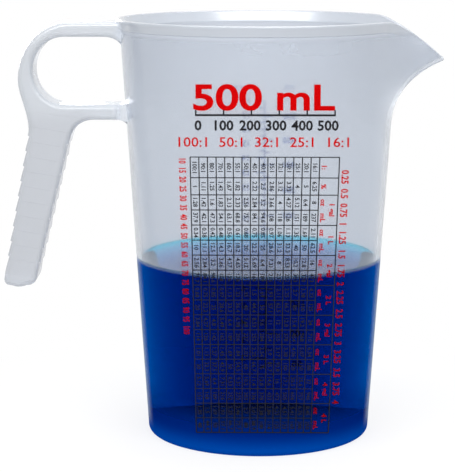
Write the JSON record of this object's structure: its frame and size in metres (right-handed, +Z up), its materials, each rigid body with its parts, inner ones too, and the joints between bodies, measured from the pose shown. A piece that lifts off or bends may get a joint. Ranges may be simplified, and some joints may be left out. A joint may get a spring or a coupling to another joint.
{
  "type": "oil mixing pitcher",
  "caption": "Clear moulded measuring pitcher with a beak spout, a finger-ring handle with a hanging leg, a printed mixing chart and a part load of blue fluid.",
  "frame": {"origin": "centre of the flat bottom that the pitcher stands on", "axes": "+Z up along the cup's axis, +X towards the spout's tip, so that the handle is at -X and the printed chart faces -Y"},
  "size_m": [0.1468, 0.0952, 0.14],
  "materials": {
    "clear_plastic": "natural polypropylene, milky and see-through, with a soft gloss",
    "blue_fluid": "deep blue dyed liquid with a smooth surface",
    "black_ink": "black screen-printed ink",
    "blue_ink": "blue screen-printed ink"
  },
  "bodies": {
    "root": {"pitcher": "clear_plastic", "fluid": "blue_fluid", "chart_grid": "black_ink", "ruler_line": "black_ink", "scale_marks": "blue_ink"}
  },
  "joints": []
}
